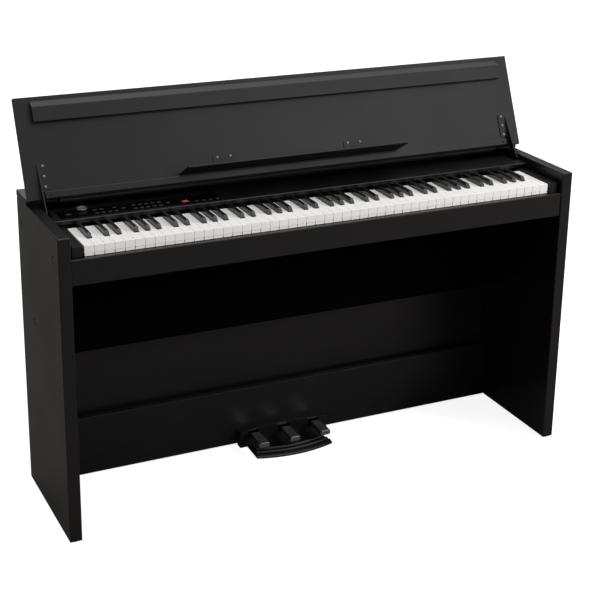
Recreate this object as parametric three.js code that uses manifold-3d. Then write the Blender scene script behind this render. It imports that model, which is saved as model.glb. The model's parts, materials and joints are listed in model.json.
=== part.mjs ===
// Console digital piano: a slim cabinet with a folding lid, an 88-note keyboard and three pedals.
// Millimetres. X runs to the player's right, Y runs away from the player, Z is up.
// The floor is z = 0, and the origin lies midway between the front and back of the open instrument.
import * as THREE from "three";
import { mergeVertices } from "three/addons/utils/BufferGeometryUtils.js";
import Module from "manifold-3d";

const wasm = await Module();
wasm.setup();

// ---- driving dimensions -------------------------------------------------------------------
const WIDTH = 1355; // over both side panels
const DEPTH = 351; // front edge to back edge of a side panel
const PANEL_THICKNESS = 30; // side panels
const BOARD = 15; // lid, top and back boards
const FOOT_HEIGHT = 4;
const PANEL_TOP = 753;
const GAP = 0.3; // between pieces that rest on each other

const LEAN = THREE.MathUtils.degToRad(23.6); // the open lid leans back by this much
const LID_LENGTH = 243.4; // from its hinged edge to its front edge
const LID_HALF_WIDTH = 677;
const LID_EDGE_Y = 243.5; // lower front edge of the open lid
const LID_EDGE_Z = 768;
const HINGE_DROP = 5; // hinge axis below the lid's lower edge, along the lid
const HINGE_INSET = 6.72; // hinge axis behind the lid's inner face
const HINGE_HALF_LENGTH = 600;
const TOP_BOARD_FRONT = 262; // front edge of the fixed board behind the lid

const KEY_PITCH = 23.6; // one white key with its gap
const WHITE_COUNT = 52;
const KEY_GAP = 1;
const KEY_FRONT = 16; // y of the white key fronts
const WHITE_TOP = 724.7;
const WHITE_BOTTOM = 700;
const BLACK_TOP = 736;
const BLACK_FRONT = 62;
const WHITE_COVERED = 146; // where the white caps end
const BLACK_COVERED = 155;
const LEVER_BACK = 232;
const FIRST_SINGLE = 26; // the four white keys from here on (F to B) are hinged one by one
const SINGLE_COUNT = 4;

const CONTROL_TOP = 739;
const CONTROL_PLATE = 3.5;
const CONTROL_LIP = 728.6; // lower edge of its front
const CONTROL_FRONT = 162;
const CONTROL_BACK = 256;
const CONTROL_HALF_WIDTH = 632; // beside the lid's arms
const EAR_HALF_WIDTH = 646.5; // in front of them
const EAR_BACK = 197;

const RAIL_FRONT = 3; // key slip below the keys
const RAIL_BACK = 14.5;
const RAIL_BOTTOM = 639;
const RAIL_TOP = 699.5;
const BED_BOTTOM = 643;
const BED_TOP = 658;

const SPEAKER_FRONT = 258;
const SPEAKER_BOTTOM = 366;
const SPEAKER_X = 430; // loudspeaker centres to either side
const SPEAKER_Z = 500;
const SPEAKER_RADIUS = 60;
const BACK_FRONT = 333;

const INLET_X = -285; // low-voltage socket in the back
const JACKS_FRONT = 66; // front of the headphone socket box, set back under the key bed

const PEDAL_BOARD_FRONT = 303;
const PEDAL_BOARD_TOP = 162;
const PEDAL_SPACING = 89;
const PEDAL_TIP = 208;
const SHAFT_Y = 293;
const SHAFT_Z = 34;
const SHAFT_RADIUS = 4;

// ---- derived places -----------------------------------------------------------------------
const HALF = WIDTH / 2;
const INNER = HALF - PANEL_THICKNESS; // inner faces of the side panels
const FIT = INNER - GAP; // half length of the boards between them
const KEYS_LEFT = (-KEY_PITCH * WHITE_COUNT) / 2;
const LID_BACK_Y = LID_EDGE_Y + LID_LENGTH * Math.sin(LEAN) + BOARD * Math.cos(LEAN);
const CENTRE_Y = LID_BACK_Y / 2; // the side panels' front edges lie at y = 0

// ---- materials ----------------------------------------------------------------------------
function finish(color, roughness, metalness = 0) {
  return new THREE.MeshStandardMaterial({ color, roughness, metalness });
}

const SATIN_BLACK = finish(0x1c1b1b, 0.45);
const BOARD_BLACK = finish(0x141414, 0.55);
const CLOTH_BLACK = finish(0x050505, 0.95);
const PLASTIC_BLACK = finish(0x111112, 0.4);
const WHITE_KEY = finish(0xf1f0ec, 0.25);
const BLACK_KEY = finish(0x161616, 0.35);
const SILVER = finish(0xa9a9aa, 0.3, 0.6);
const CHROME = finish(0xd8d8d8, 0.12, 1);
const STEEL_BLACK = finish(0x202022, 0.4, 0.5);
const STEEL = finish(0x9a9a9c, 0.35, 1);
const RUBBER = finish(0x0c0c0c, 0.9);
const CIRCUIT = finish(0x14452b, 0.6);
const WINDOW = finish(0x1a0405, 0.1);

// ---- geometry helpers ---------------------------------------------------------------------
function box(x0, x1, y0, y1, z0, z1) {
  const shape = new THREE.BoxGeometry(x1 - x0, y1 - y0, z1 - z0);
  return shape.translate((x0 + x1) / 2, (y0 + y1) / 2, (z0 + z1) / 2);
}

function outline(points, holes = []) {
  const shape = new THREE.Shape(points.map(([a, b]) => new THREE.Vector2(a, b)));
  for (const hole of holes) {
    shape.holes.push(new THREE.Path(hole.map(([a, b]) => new THREE.Vector2(a, b))));
  }
  return shape;
}

function extrude(points, length, holes) {
  return new THREE.ExtrudeGeometry(outline(points, holes), { depth: length, bevelEnabled: false });
}

// A (y, z) profile drawn out along X.
function alongX(profile, x0, x1, holes) {
  const turn = new THREE.Matrix4().makeBasis(
    new THREE.Vector3(0, 1, 0),
    new THREE.Vector3(0, 0, 1),
    new THREE.Vector3(1, 0, 0),
  );
  return extrude(profile, x1 - x0, holes).applyMatrix4(turn).translate(x0, 0, 0);
}

// An (x, z) outline drawn back along Y.
function alongY(front, y0, y1) {
  return extrude(front, y1 - y0).rotateX(Math.PI / 2).translate(0, y1, 0);
}

// An (x, y) outline drawn up along Z.
function alongZ(plan, z0, z1, holes) {
  return extrude(plan, z1 - z0, holes).translate(0, 0, z0);
}

function circle(cx, cy, radius, sides) {
  return Array.from({ length: sides }, (_, i) => {
    const angle = (2 * Math.PI * (i + 0.5)) / sides;
    return [cx + radius * Math.cos(angle), cy + radius * Math.sin(angle)];
  });
}

function arc(cx, cy, radius, start, end, steps) {
  return Array.from({ length: steps + 1 }, (_, i) => {
    const angle = THREE.MathUtils.degToRad(start + ((end - start) * i) / steps);
    return [cx + radius * Math.cos(angle), cy + radius * Math.sin(angle)];
  });
}

function rectangle(x0, x1, y0, y1) {
  return [[x0, y0], [x1, y0], [x1, y1], [x0, y1]];
}

function toSolid(geometry) {
  const plain = geometry.clone();
  plain.deleteAttribute("normal");
  plain.deleteAttribute("uv");
  const merged = mergeVertices(plain, 1e-4);
  return new wasm.Manifold(
    new wasm.Mesh({
      numProp: 3,
      vertProperties: new Float32Array(merged.attributes.position.array),
      triVerts: new Uint32Array(merged.index.array),
    }),
  );
}

function toGeometry(solid) {
  const mesh = solid.getMesh();
  const geometry = new THREE.BufferGeometry();
  geometry.setAttribute("position", new THREE.BufferAttribute(mesh.vertProperties, 3));
  geometry.setIndex(new THREE.BufferAttribute(mesh.triVerts, 1));
  geometry.computeVertexNormals();
  return geometry;
}

function join(...geometries) {
  return toGeometry(geometries.map(toSolid).reduce((all, next) => all.add(next)));
}

function cut(geometry, ...tools) {
  return toGeometry(tools.map(toSolid).reduce((left, tool) => left.subtract(tool), toSolid(geometry)));
}

function place(parent, name, geometry, material) {
  const mesh = new THREE.Mesh(geometry, material);
  mesh.name = name;
  parent.add(mesh);
}

const SIDES = [["left", -1], ["right", 1]];

// ---- cabinet ------------------------------------------------------------------------------
function sidePanels(parent) {
  for (const [side, sign] of SIDES) {
    const [x0, x1] = [sign * HALF, sign * INNER].sort((a, b) => a - b);
    place(parent, `${side}_side_panel`, box(x0, x1, 0, DEPTH, FOOT_HEIGHT, PANEL_TOP - GAP), SATIN_BLACK);
  }
}

function feet(parent) {
  const radius = 9;
  const inset = 16;
  for (const [side, sign] of SIDES) {
    for (const [end, y] of [["front", inset], ["rear", DEPTH - inset]]) {
      const disc = alongZ(circle(sign * (HALF - PANEL_THICKNESS / 2), y, radius, 12), 0, FOOT_HEIGHT - GAP);
      place(parent, `${end}_${side}_foot`, disc, RUBBER);
    }
  }
}

function boards(parent) {
  place(parent, "back_panel", box(-FIT, FIT, BACK_FRONT, BACK_FRONT + BOARD, 5, BED_BOTTOM - GAP), SATIN_BLACK);
  const pedalBoard = box(-FIT, FIT, PEDAL_BOARD_FRONT, PEDAL_BOARD_FRONT + 18, 5, PEDAL_BOARD_TOP);
  place(parent, "pedal_board", pedalBoard, SATIN_BLACK);
  place(parent, "key_bed", box(-FIT, FIT, RAIL_BACK + GAP, 348, BED_BOTTOM, BED_TOP), BOARD_BLACK);
  const caseBack = box(-FIT, FIT, BACK_FRONT, BACK_FRONT + BOARD, BED_TOP + GAP, PANEL_TOP - GAP);
  const inletHole = box(INLET_X - 13, INLET_X + 13, BACK_FRONT - 1, BACK_FRONT + BOARD + 1, BED_TOP, BED_TOP + 21);
  place(parent, "case_back", cut(caseBack, inletHole), SATIN_BLACK);
  place(parent, "rear_top_board", box(-HALF, HALF, TOP_BOARD_FRONT, DEPTH, PANEL_TOP, PANEL_TOP + BOARD), SATIN_BLACK);
}

function keySlip(parent) {
  const rounding = 1.5;
  const profile = [
    [RAIL_FRONT, RAIL_BOTTOM],
    [RAIL_BACK, RAIL_BOTTOM],
    [RAIL_BACK, RAIL_TOP],
    [RAIL_FRONT + rounding, RAIL_TOP],
    [RAIL_FRONT, RAIL_TOP - rounding],
  ];
  place(parent, "key_slip", alongX(profile, -FIT, FIT), SATIN_BLACK);
}

function cheeks(parent) {
  const inner = -KEYS_LEFT + 3;
  const outer = 642;
  for (const [side, sign] of SIDES) {
    const [x0, x1] = [sign * inner, sign * outer].sort((a, b) => a - b);
    const block = box(x0, x1, RAIL_BACK + GAP, CONTROL_FRONT + 20, BED_TOP + GAP, 726);
    place(parent, `${side}_cheek`, block, PLASTIC_BLACK);
  }
}

// ---- loudspeakers -------------------------------------------------------------------------
function speakers(parent) {
  const wall = 12;
  const front = SPEAKER_FRONT + 5;
  const back = BACK_FRONT - GAP;
  const top = BED_BOTTOM - GAP;
  const cloth = box(-FIT, FIT, SPEAKER_FRONT - 3, front - GAP, SPEAKER_BOTTOM, top);
  const pockets = SIDES.map(([, sign]) =>
    new THREE.CylinderGeometry(SPEAKER_RADIUS + 4, SPEAKER_RADIUS + 4, 6, 24)
      .translate(sign * SPEAKER_X, SPEAKER_FRONT + 3, SPEAKER_Z),
  );
  place(parent, "speaker_cloth", cut(cloth, ...pockets), CLOTH_BLACK);
  const floor = SPEAKER_BOTTOM + wall;
  const corner = [
    [front, SPEAKER_BOTTOM], [back, SPEAKER_BOTTOM], [back, floor], [front + wall, floor], [front + wall, top],
    [front, top],
  ];
  const shell = alongX(corner, -FIT, FIT);
  const holes = SIDES.map(([, sign]) =>
    new THREE.CylinderGeometry(SPEAKER_RADIUS - 8, SPEAKER_RADIUS - 8, 3 * wall, 24)
      .translate(sign * SPEAKER_X, front, SPEAKER_Z),
  );
  place(parent, "speaker_box", cut(shell, ...holes), BOARD_BLACK);
  for (const [side, sign] of SIDES) {
    const driver = loudspeaker().translate(sign * SPEAKER_X, front - GAP, SPEAKER_Z);
    place(parent, `${side}_speaker`, driver, PLASTIC_BLACK);
  }
}

// Flange, cone and magnet turned about Y, with the flange's back at y = 0.
function loudspeaker() {
  const profile = [
    [0, -16], [12, -16], [SPEAKER_RADIUS - 14, 1], [SPEAKER_RADIUS - 10, 3], [SPEAKER_RADIUS, 3],
    [SPEAKER_RADIUS, 0], [SPEAKER_RADIUS - 9.5, 0], [30, -24], [30, -42], [0, -42],
  ];
  const turned = new THREE.LatheGeometry(profile.reverse().map(([r, h]) => new THREE.Vector2(r, h)), 24);
  return turned.rotateX(Math.PI);
}

// ---- control panel ------------------------------------------------------------------------
const REAR_ROW = 212;
const MIDDLE_ROW = 199;
const FRONT_ROW = 187;
const row = (first, pitch, count, y) => Array.from({ length: count }, (_, i) => [first + pitch * i, y]);
const BUTTONS = {
  function_buttons: [
    ...row(-530, 15.6, 4, FRONT_ROW), [-462, MIDDLE_ROW], ...row(-528, 15.6, 2, REAR_ROW), [-480, REAR_ROW],
  ],
  sound_buttons: [...row(-436, 15.6, 5, FRONT_ROW), ...row(-433, 15.7, 5, REAR_ROW), [-351, MIDDLE_ROW]],
  transport_buttons: row(-283, 17.6, 4, FRONT_ROW - 2),
};
const CAP = { length: 10, width: 6, clearance: 0.4, top: 1.5 };
const KNOB = { x: -556, y: 223, radius: 13, stem: 3, height: 7.5 };
const POWER = { x: -595, y: 201, length: 13, width: 8 };
const DISPLAY = { x0: -329, x1: -291, y0: 184, y1: 208 };

function capPlan([x, y], margin, { length, width } = CAP) {
  return rectangle(x - length / 2 - margin, x + length / 2 + margin, y - width / 2 - margin, y + width / 2 + margin);
}

function controlPanel(parent) {
  const under = CONTROL_TOP - CONTROL_PLATE;
  const post = 3; // thickness of the rear wall that stands on the key bed
  const profile = [
    [CONTROL_FRONT, CONTROL_LIP], [CONTROL_FRONT + 4, CONTROL_LIP], [CONTROL_FRONT + 4, under],
    [CONTROL_BACK - post, under], [CONTROL_BACK - post, BED_TOP + GAP], [CONTROL_BACK, BED_TOP + GAP],
    [CONTROL_BACK, CONTROL_TOP], [CONTROL_FRONT + 1.5, CONTROL_TOP], [CONTROL_FRONT, CONTROL_TOP - 1.5],
  ];
  // In front of the lid's arms the panel widens to meet the side panels.
  const ear = [
    [CONTROL_FRONT, CONTROL_LIP], [CONTROL_FRONT + 4, CONTROL_LIP], [CONTROL_FRONT + 4, under],
    [EAR_BACK, under], [EAR_BACK, CONTROL_TOP], [CONTROL_FRONT + 1.5, CONTROL_TOP],
    [CONTROL_FRONT, CONTROL_TOP - 1.5],
  ];
  const plate = join(
    alongX(profile, -CONTROL_HALF_WIDTH, CONTROL_HALF_WIDTH),
    alongX(ear, -EAR_HALF_WIDTH, 10 - CONTROL_HALF_WIDTH),
    alongX(ear, CONTROL_HALF_WIDTH - 10, EAR_HALF_WIDTH),
  );
  const caps = Object.values(BUTTONS).flat().map((spot) => capPlan(spot, CAP.clearance));
  caps.push(capPlan([POWER.x, POWER.y], CAP.clearance, POWER));
  caps.push(rectangle(DISPLAY.x0, DISPLAY.x1, DISPLAY.y0, DISPLAY.y1));
  caps.push(circle(KNOB.x, KNOB.y, KNOB.stem + CAP.clearance, 12));
  const tools = caps.map((plan) => alongZ(plan, under - 1, CONTROL_TOP + 1));
  place(parent, "control_panel", cut(plate, ...tools), SATIN_BLACK);
  const glass = rectangle(DISPLAY.x0 + GAP, DISPLAY.x1 - GAP, DISPLAY.y0 + GAP, DISPLAY.y1 - GAP);
  place(parent, "display_window", alongZ(glass, under - 3, CONTROL_TOP - 0.4), WINDOW);
}

function buttonBank(parent, name) {
  const spots = BUTTONS[name];
  const carrierTop = CONTROL_TOP - CONTROL_PLATE - 1.2;
  const xs = spots.map(([x]) => x);
  const ys = spots.map(([, y]) => y);
  const carrier = rectangle(Math.min(...xs) - 6, Math.max(...xs) + 6, Math.min(...ys) - 4, Math.max(...ys) + 4);
  const caps = spots.map((spot) => alongZ(capPlan(spot, 0), carrierTop - 1, CONTROL_TOP + CAP.top));
  place(parent, name, join(alongZ(carrier, carrierTop - 2, carrierTop), ...caps), PLASTIC_BLACK);
}

function powerButton(parent) {
  const collar = capPlan([POWER.x, POWER.y], 2, POWER);
  const stem = capPlan([POWER.x, POWER.y], 0, POWER);
  const under = CONTROL_TOP - CONTROL_PLATE - 1.2;
  const button = join(alongZ(collar, under - 2, under), alongZ(stem, under - 1, CONTROL_TOP + 1.8));
  place(parent, "power_button", button, PLASTIC_BLACK);
}

function volumeKnob(parent) {
  const base = CONTROL_TOP + GAP;
  const profile = [
    [0, base - 9], [KNOB.stem, base - 9], [KNOB.stem, base], [KNOB.radius, base],
    [KNOB.radius - 0.8, base + KNOB.height - 0.8], [KNOB.radius - 1.8, base + KNOB.height],
    [0, base + KNOB.height],
  ];
  const turned = new THREE.LatheGeometry(profile.map(([r, h]) => new THREE.Vector2(r, h)), 24);
  place(parent, "volume_knob", turned.rotateX(Math.PI / 2).translate(KNOB.x, KNOB.y, 0), SILVER);
}

// ---- electronics --------------------------------------------------------------------------
function electronics(parent) {
  const boardZ = BED_TOP + 6;
  const posts = [-416, -188].flatMap((x) => [266, 312].map((y) => box(x, x + 6, y, y + 6, BED_TOP + GAP, boardZ + 1)));
  place(parent, "main_board", join(box(-420, -178, 262, 322, boardZ, boardZ + 1.6), ...posts), CIRCUIT);
  const inlet = box(INLET_X - 12, INLET_X + 12, 324, BACK_FRONT + BOARD - 0.5, BED_TOP + GAP, BED_TOP + 20);
  const socket = new THREE.CylinderGeometry(4.5, 4.5, 12, 16).translate(INLET_X, BACK_FRONT + BOARD, BED_TOP + 10);
  place(parent, "power_inlet", cut(inlet, socket), PLASTIC_BLACK);
  const jackBox = box(-604, -544, JACKS_FRONT, JACKS_FRONT + 60, BED_BOTTOM - 24, BED_BOTTOM - GAP);
  const jack = (x) => new THREE.CylinderGeometry(3.4, 3.4, 30, 16).translate(x, JACKS_FRONT, BED_BOTTOM - 12);
  const jacks = [-589, -559].map(jack);
  place(parent, "headphone_box", cut(jackBox, ...jacks), PLASTIC_BLACK);
  const contacts = box(KEYS_LEFT + 1, -KEYS_LEFT - 1, 96, 128, BED_TOP + 6 + 2 * GAP, BED_TOP + 22);
  place(parent, "contact_board", contacts, CIRCUIT);
}

// ---- keyboard -----------------------------------------------------------------------------
// White key 0 is the lowest A. A sharp sits after a white key unless that key is a B or an E.
const SHARP_AFTER = { 0: 3.6, 2: -2.3, 3: 2.3, 5: -3.6, 6: 0 };
const SHARP_WIDTH = 10.4;

function sharpCentre(index) {
  const offset = SHARP_AFTER[index % 7];
  return offset === undefined || index + 1 >= WHITE_COUNT ? undefined : KEYS_LEFT + KEY_PITCH * (index + 1) + offset;
}

function whiteKey(index) {
  const left = KEYS_LEFT + KEY_PITCH * index + KEY_GAP / 2;
  const right = left + KEY_PITCH - KEY_GAP;
  const clearance = SHARP_WIDTH / 2 + 1;
  const before = index > 0 ? sharpCentre(index - 1) : undefined;
  const after = sharpCentre(index);
  const tailLeft = before === undefined ? left : before + clearance;
  const tailRight = after === undefined ? right : after - clearance;
  const notch = BLACK_FRONT - 1.5;
  const plan = [
    [left, KEY_FRONT], [right, KEY_FRONT], [right, notch], [tailRight, notch],
    [tailRight, WHITE_COVERED], [tailLeft, WHITE_COVERED], [tailLeft, notch], [left, notch],
  ];
  const corners = plan.filter(([x, y], i) => i === 0 || x !== plan[i - 1][0] || y !== plan[i - 1][1]);
  const lever = rectangle(tailLeft, tailRight, WHITE_COVERED - 2, LEVER_BACK);
  return [alongZ(corners, WHITE_BOTTOM, WHITE_TOP), alongZ(lever, 703, 711)];
}

function blackKey(index) {
  const centre = sharpCentre(index);
  const profile = [
    [BLACK_FRONT, 714], [LEVER_BACK, 714], [LEVER_BACK, 722], [BLACK_COVERED, 722],
    [BLACK_COVERED, BLACK_TOP], [BLACK_FRONT + 8, BLACK_TOP], [BLACK_FRONT + 4, BLACK_TOP - 2],
    [BLACK_FRONT, WHITE_TOP + 1],
  ];
  return [alongX(profile, centre - SHARP_WIDTH / 2, centre + SHARP_WIDTH / 2)];
}

function range(first, count) {
  return Array.from({ length: count }, (_, i) => first + i);
}

function keyBank(parent, name, indices, makeKey, [barBottom, barTop], material) {
  const pieces = indices.flatMap(makeKey);
  const bar = new THREE.Box3();
  for (const piece of pieces) {
    piece.computeBoundingBox();
    bar.union(piece.boundingBox);
  }
  pieces.push(box(bar.min.x, bar.max.x, LEVER_BACK - 16, LEVER_BACK, barBottom, barTop));
  place(parent, name, join(...pieces), material);
}

function keyboard(parent) {
  const afterSingles = FIRST_SINGLE + SINGLE_COUNT;
  const hasSharp = (index) => sharpCentre(index) !== undefined;
  const bass = range(0, FIRST_SINGLE);
  const treble = range(afterSingles, WHITE_COUNT - afterSingles);
  const whiteBar = [703, 711];
  const blackBar = [714, 722];
  keyBank(parent, "bass_white_keys", bass, whiteKey, whiteBar, WHITE_KEY);
  keyBank(parent, "treble_white_keys", treble, whiteKey, whiteBar, WHITE_KEY);
  keyBank(parent, "bass_black_keys", bass.filter(hasSharp), blackKey, blackBar, BLACK_KEY);
  keyBank(parent, "treble_black_keys", treble.filter(hasSharp), blackKey, blackBar, BLACK_KEY);
  const letters = ["f", "g", "a", "b"];
  letters.forEach((letter, i) => {
    const index = FIRST_SINGLE + i;
    place(parent, `key_${letter}`, join(...whiteKey(index)), WHITE_KEY);
    if (hasSharp(index)) {
      place(parent, `key_${letter}_sharp`, join(...blackKey(index)), BLACK_KEY);
    }
  });
}

function keyFrame(parent) {
  const base = BED_TOP + GAP;
  const profile = [
    [22, base], [240, base], [240, 701], [188, 701], [188, base + 6],
    [56, base + 6], [56, 688], [26, 688], [26, base + 6], [22, base + 6],
  ];
  place(parent, "key_frame", alongX(profile, KEYS_LEFT, -KEYS_LEFT), STEEL_BLACK);
}

// ---- lid ----------------------------------------------------------------------------------
// Inside the lid's own group, z runs up the lid from its lower edge and y runs back through it.
const HINGE_Y = LID_EDGE_Y - HINGE_DROP * Math.sin(LEAN) + HINGE_INSET * Math.cos(LEAN);
const HINGE_Z = LID_EDGE_Z - HINGE_DROP * Math.cos(LEAN) - HINGE_INSET * Math.sin(LEAN);
const KNUCKLE = { radius: 3.4, bore: 1.9, pin: 1.5, count: 7, gap: 1 };

function lidGroup(parent) {
  const group = new THREE.Group();
  group.position.set(0, LID_EDGE_Y, LID_EDGE_Z);
  group.rotation.x = -LEAN;
  parent.add(group);
  return group;
}

function lidBoards(lid) {
  place(lid, "lid_board", box(-LID_HALF_WIDTH, LID_HALF_WIDTH, 0, BOARD, 0, LID_LENGTH), SATIN_BLACK);
  const proud = 16;
  const lip = [[-proud, 181.5], [-GAP, 181.5], [-GAP, 232], [-3, 232], [-proud, 217]];
  place(lid, "lid_lip", alongX(lip, -640, 640), SATIN_BLACK);
  place(lid, "lid_strip", box(-636, 636, -5, -GAP, 1, 19.2), SATIN_BLACK);
}

function knuckleSpans(odd) {
  const pitch = (2 * HINGE_HALF_LENGTH) / KNUCKLE.count;
  return range(0, KNUCKLE.count)
    .filter((i) => i % 2 === (odd ? 1 : 0))
    .map((i) => [-HINGE_HALF_LENGTH + i * pitch + KNUCKLE.gap / 2, -HINGE_HALF_LENGTH + (i + 1) * pitch - KNUCKLE.gap / 2]);
}

function fixedLeaf(parent) {
  const bore = circle(HINGE_Y, HINGE_Z, KNUCKLE.bore, 10);
  const barrel = circle(HINGE_Y, HINGE_Z, KNUCKLE.radius, 12);
  const shelf = HINGE_Z - KNUCKLE.radius + 0.2;
  const riser = 257.5;
  const foot = { back: 290, bottom: 751.2, top: PANEL_TOP - GAP };
  // A leaf screwed under the rear top board, which turns up and then forward as far as tip.
  const leaf = (tip) => [
    [riser, foot.bottom], [foot.back, foot.bottom], [foot.back, foot.top], [riser + 1.5, foot.top],
    [riser + 1.5, shelf + 1.3], [tip, shelf + 1.3], [tip, shelf], [riser, shelf],
  ];
  const plate = alongX(leaf(HINGE_Y + 5), -HINGE_HALF_LENGTH, HINGE_HALF_LENGTH);
  const spans = knuckleSpans(false);
  const arms = spans.map(([x0, x1]) => alongX(leaf(HINGE_Y), x0, x1));
  const barrels = spans.map(([x0, x1]) => alongX(barrel, x0, x1));
  const bores = alongX(bore, -HINGE_HALF_LENGTH - 1, HINGE_HALF_LENGTH + 1);
  place(parent, "hinge_fixed_leaf", cut(join(plate, ...arms, ...barrels), bores), STEEL_BLACK);
  const pin = alongX(circle(HINGE_Y, HINGE_Z, KNUCKLE.pin, 10), -HINGE_HALF_LENGTH, HINGE_HALF_LENGTH);
  place(parent, "hinge_pin", pin, STEEL);
}

function movingLeaf(lid) {
  const plate = box(-HINGE_HALF_LENGTH, HINGE_HALF_LENGTH, 0.5, BOARD - 0.5, -1.2, -GAP);
  const spans = knuckleSpans(true);
  const webs = spans.map(([x0, x1]) => box(x0, x1, HINGE_INSET - 2, HINGE_INSET + 2, -3, -1));
  const barrels = spans.map(([x0, x1]) => alongX(circle(HINGE_INSET, -HINGE_DROP, KNUCKLE.radius, 12), x0, x1));
  const bore = alongX(circle(HINGE_INSET, -HINGE_DROP, KNUCKLE.bore, 10), -HINGE_HALF_LENGTH - 1, HINGE_HALF_LENGTH + 1);
  place(lid, "hinge_moving_leaf", cut(join(plate, ...webs, ...barrels), bore), STEEL_BLACK);
}

// Each arm is an angle plate: a flange screwed to the lid, and a web that reaches down beside the
// control panel and carries a stud in its guide.
const ARM = { inside: 621, web: 642, outside: 644.5, top: 84, foot: 24, studY: -19.2, studZ: -40.6, studRadius: 2.5 };
const GUIDE = { radius: 44, start: 205, end: 329, slot: 3.2, rim: 8 };

function lidArms(lid) {
  const web = [
    [-GAP, ARM.top], [-2.5, ARM.top], [-27, -38], ...arc(ARM.studY, ARM.studZ, 7.5, 175, 340, 6), [-GAP, 2],
  ];
  const flange = box(ARM.inside, ARM.outside, -2.5, -GAP, ARM.foot, ARM.top);
  const stud = alongX(circle(ARM.studY, ARM.studZ, ARM.studRadius, 10), ARM.web, INNER - 0.5);
  const arm = join(alongX(web, ARM.web, ARM.outside), flange, stud);
  place(lid, "right_lid_arm", arm, STEEL_BLACK);
  place(lid, "left_lid_arm", mirrored(arm), STEEL_BLACK);
}

// The same shape on the other side of the middle plane.
function mirrored(geometry) {
  const other = geometry.clone().applyMatrix4(new THREE.Matrix4().makeScale(-1, 1, 1));
  const index = other.index.array.slice();
  for (let i = 0; i < index.length; i += 3) {
    [index[i], index[i + 1]] = [index[i + 1], index[i]];
  }
  other.setIndex(new THREE.BufferAttribute(index, 1));
  return other;
}

function lidGuides(parent) {
  const band = (inner, outer, start, end) => [
    ...arc(HINGE_Y, HINGE_Z, outer, start, end, 16),
    ...arc(HINGE_Y, HINGE_Z, inner, end, start, 16),
  ];
  const half = GUIDE.slot;
  const slot = band(GUIDE.radius - half, GUIDE.radius + half, GUIDE.start, GUIDE.end);
  const rim = band(GUIDE.radius - GUIDE.rim, GUIDE.radius + GUIDE.rim, GUIDE.start - 6, GUIDE.end + 6);
  const guide = join(alongX(rim, INNER - 1.7, INNER - GAP, [slot]));
  place(parent, "right_lid_guide", guide, STEEL_BLACK);
  place(parent, "left_lid_guide", mirrored(guide), STEEL_BLACK);
}

// ---- music ledge --------------------------------------------------------------------------
const LEDGE = { y: -6.5, z: 23.5, bead: 2.8, depth: 64, thickness: 4, halfLength: 300, open: 83.6 };

function musicLedge(lid) {
  const half = LEDGE.thickness / 2;
  const profile = [
    ...arc(0, 0, LEDGE.bead, 135, 405, 8), [half, LEDGE.depth - 1], [half - 1, LEDGE.depth],
    [-half + 1, LEDGE.depth], [-half, LEDGE.depth - 1],
  ];
  const hinge = new THREE.Group();
  hinge.position.set(0, LEDGE.y, LEDGE.z);
  hinge.rotation.x = THREE.MathUtils.degToRad(LEDGE.open);
  lid.add(hinge);
  place(hinge, "music_ledge", alongX(profile, -LEDGE.halfLength, LEDGE.halfLength), SATIN_BLACK);
  for (const [side, sign] of SIDES) {
    const leaf = box(sign * 180 - 30, sign * 180 + 30, -1.8, -GAP, 26.5, 60);
    place(lid, `${side}_ledge_hinge`, leaf, STEEL_BLACK);
  }
}

// ---- pedals -------------------------------------------------------------------------------
function pedals(parent) {
  const [halfWidth, front, back, wall] = [128, 281, PEDAL_BOARD_FRONT - GAP, 3.5];
  const dome = (inset) => {
    const side = halfWidth - inset;
    const radius = 855 - inset;
    const reach = THREE.MathUtils.radToDeg(Math.asin(side / radius));
    return [[-side, 0.5 + inset], [side, 0.5 + inset], ...arc(0, -800, radius, 90 - reach, 90 + reach, 12)];
  };
  const shell = alongY(dome(0), front, back);
  const room = alongY(dome(wall), front + wall, back + 1);
  const spots = [["left", -PEDAL_SPACING], ["middle", 0], ["right", PEDAL_SPACING]];
  const slots = spots.map(([, x]) => box(x - 14.5, x + 14.5, front - 1, front + wall + 1, 26, 46.5));
  place(parent, "pedal_housing", cut(shell, room, ...slots), PLASTIC_BLACK);
  const rod = alongX(circle(SHAFT_Y, SHAFT_Z, SHAFT_RADIUS, 12), wall - halfWidth + GAP, halfWidth - wall - GAP);
  place(parent, "pedal_shaft", rod, STEEL);
  const bow = arc(0, 520, 330, 250.5, 289.5, 12);
  const plan = [...bow, [112, front - GAP], [-112, front - GAP]];
  place(parent, "pedal_base", alongZ(plan, 0, 11), PLASTIC_BLACK);
  for (const [side, x] of spots) {
    place(parent, `${side}_pedal`, pedalLever(x), CHROME);
  }
}

function pedalLever(x) {
  const halfWidth = 13;
  const profile = [
    ...arc(SHAFT_Y, SHAFT_Z, 7.5, -90, 90, 6), [262, 42], [225, 43], [216, 42.6],
    ...arc(PEDAL_TIP + 7, 35.6, 7, 90, 180, 4), [PEDAL_TIP, 31], [PEDAL_TIP + 4, 30], [PEDAL_TIP + 8, 36],
    [262, 34.5],
  ];
  return alongX(profile, x - halfWidth, x + halfWidth, [circle(SHAFT_Y, SHAFT_Z, SHAFT_RADIUS + 0.5, 12)]);
}

// ---- assembly -----------------------------------------------------------------------------
const piano = new THREE.Group();
piano.position.y = -CENTRE_Y;
sidePanels(piano);
feet(piano);
boards(piano);
keySlip(piano);
cheeks(piano);
speakers(piano);
controlPanel(piano);
Object.keys(BUTTONS).forEach((name) => buttonBank(piano, name));
powerButton(piano);
volumeKnob(piano);
electronics(piano);
keyFrame(piano);
keyboard(piano);
fixedLeaf(piano);
lidGuides(piano);
pedals(piano);
const lid = lidGroup(piano);
lidBoards(lid);
movingLeaf(lid);
lidArms(lid);
musicLedge(lid);

const group = new THREE.Group();
group.add(piano);
export default group;
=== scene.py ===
"""Looks of the console digital piano: its boards, keys, controls and fittings, and a plain studio."""
import json
import math

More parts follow.
